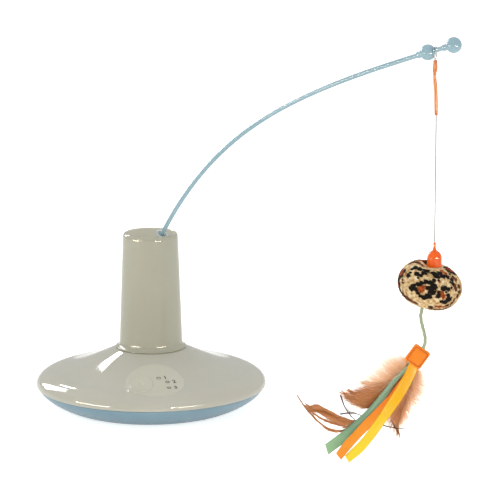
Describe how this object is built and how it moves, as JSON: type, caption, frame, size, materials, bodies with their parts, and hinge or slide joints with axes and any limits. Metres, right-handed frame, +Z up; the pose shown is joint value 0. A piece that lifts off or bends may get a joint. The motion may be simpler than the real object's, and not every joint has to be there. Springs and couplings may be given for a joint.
{
  "type": "rotating feather cat toy",
  "caption": "Battery cat toy: wide round base with a tower, a motor-turned bent wand, and a hanging lure of wire line, plush ball, ribbons and feathers.",
  "frame": {"origin": "on the turning axis, at the face of the shallow round recess in the middle of the underside", "axes": "+Z up along the turning axis, -Y to the front where the control panel is, +X to the right"},
  "size_m": [0.4119, 0.3562, 0.4039],
  "materials": {
    "sage_plastic": "glossy moulded, sage grey",
    "blue_plastic": "glossy moulded, light blue",
    "wand_plastic": "satin gloss, light blue",
    "clear_plastic": "clear, polished",
    "white_plastic": "matt, off white",
    "gear_plastic": "matt, natural acetal",
    "rubber": "matt black",
    "steel": "bright zinc plated",
    "brass": "bright",
    "nickel": "nickel plated spring sheet",
    "cell_jacket": "plain printed jacket, no marks",
    "board": "green solder mask",
    "switch_black": "matt black",
    "orange_plastic": "glossy orange",
    "sleeve_orange": "translucent shrink tube, orange",
    "coated_wire": "thin grey coated wire",
    "plush": "short pile plush, leopard print",
    "cord_green": "twisted cord, soft green",
    "felt_orange": "felt, orange",
    "satin_green": "satin ribbon, green",
    "satin_orange": "satin ribbon, orange",
    "satin_yellow": "satin ribbon, yellow",
    "feather_brown": "natural feather, chestnut",
    "down": "natural down, tan"
  },
  "bodies": {
    "base": {"base_bottom_shell": "blue_plastic", "base_top_shell": "sage_plastic", "tower_shell": "sage_plastic", "control_panel": "sage_plastic", "light_pipe_1": "clear_plastic", "light_pipe_2": "clear_plastic", "light_pipe_3": "clear_plastic", "circuit_board": "board", "press_switch": "switch_black", "battery_cell_1": "cell_jacket", "battery_cell_2": "cell_jacket", "battery_cell_3": "cell_jacket", "positive_contact": "nickel", "rear_link_contact": "nickel", "front_link_contact": "nickel", "negative_contact": "nickel", "motor": "steel", "gear_frame": "white_plastic", "gear_lid": "white_plastic", "gear_arbor_1": "steel", "gear_arbor_2": "steel", "gear_screw_1": "steel", "gear_screw_2": "steel", "gear_screw_3": "steel", "foot_1": "rubber", "foot_2": "rubber", "foot_3": "rubber", "foot_4": "rubber", "case_screw_1": "steel", "case_screw_2": "steel", "case_screw_3": "steel", "case_screw_4": "steel"},
    "button": {"speed_button": "sage_plastic", "switch_plunger": "white_plastic"},
    "door": {"battery_door": "blue_plastic", "door_screw": "steel"},
    "armature": {"motor_shaft": "steel", "motor_pinion": "brass"},
    "first_wheel": {"first_gear": "gear_plastic"},
    "second_wheel": {"second_gear": "gear_plastic"},
    "rotor": {"turntable": "sage_plastic", "output_shaft": "steel", "output_gear": "gear_plastic", "socket_collar": "clear_plastic"},
    "wand": {"wand_rod": "wand_plastic", "inner_stop_bead": "wand_plastic", "end_ball": "wand_plastic"},
    "loop": {"wire_loop": "steel", "sleeve": "sleeve_orange"},
    "line": {"lure_line": "coated_wire"},
    "ball": {"plush_ball": "plush", "bell_cap": "orange_plastic"},
    "cord": {"tail_cord": "cord_green"},
    "tag": {"felt_tag": "felt_orange", "green_ribbon": "satin_green", "orange_ribbon": "satin_orange", "yellow_ribbon": "satin_yellow", "long_feather": "feather_brown", "short_feather": "feather_brown", "down_tuft": "down"}
  },
  "joints": [
    {"name": "rotor_spin", "type": "hinge", "parent": "base", "child": "rotor", "pos_m": [0, 0, 0.133], "axis": [0, 0, 1], "continuous": true},
    {"name": "second_gear_spin", "type": "hinge", "parent": "base", "child": "second_wheel", "pos_m": [0.015, 0, 0.112], "axis": [0, 0, 1], "continuous": true},
    {"name": "first_gear_spin", "type": "hinge", "parent": "base", "child": "first_wheel", "pos_m": [0.00878, 0.01141, 0.112], "axis": [0, 0, 1], "continuous": true},
    {"name": "motor_spin", "type": "hinge", "parent": "base", "child": "armature", "pos_m": [-0.0042, 0.01073, 0.112], "axis": [0, 0, 1], "continuous": true},
    {"name": "button_press", "type": "slide", "parent": "base", "child": "button", "axis": [-0.0244, 0.3098, -0.9505], "range_m": [0, 0.0008], "stiffness_N_per_m": 300},
    {"name": "door_lift", "type": "slide", "parent": "base", "child": "door", "axis": [0, 0, -1], "range_m": [0, 0.03]},
    {"name": "wand_pull", "type": "slide", "parent": "rotor", "child": "wand", "axis": [0.4094, -0.3198, 0.8545], "range_m": [0, 0.02]},
    {"name": "loop_swing", "type": "hinge", "parent": "wand", "child": "loop", "pos_m": [0.26941, -0.21049, 0.38806], "axis": [0.7511, -0.5868, 0.3024], "range_deg": [-60, 60]},
    {"name": "line_swing", "type": "hinge", "parent": "loop", "child": "line", "pos_m": [0.27083, -0.21049, 0.32788], "axis": [0.6157, 0.788, 0], "range_deg": [-30, 30]},
    {"name": "ball_swing", "type": "hinge", "parent": "line", "child": "ball", "pos_m": [0.27083, -0.21049, 0.20868], "axis": [0.788, -0.6157, 0], "range_deg": [-35, 35]},
    {"name": "cord_swing", "type": "hinge", "parent": "ball", "child": "cord", "pos_m": [0.26061, -0.21049, 0.14849], "axis": [0.6157, 0.788, 0], "range_deg": [-40, 40]},
    {"name": "tag_swing", "type": "hinge", "parent": "cord", "child": "tag", "pos_m": [0.26151, -0.21049, 0.10749], "axis": [0.788, -0.6157, 0], "range_deg": [-45, 45]}
  ],
  "couplings": [
    {"joint": "second_gear_spin", "follows": "rotor_spin", "ratio": -4},
    {"joint": "first_gear_spin", "follows": "rotor_spin", "ratio": 13.333},
    {"joint": "motor_spin", "follows": "rotor_spin", "ratio": -56}
  ]
}
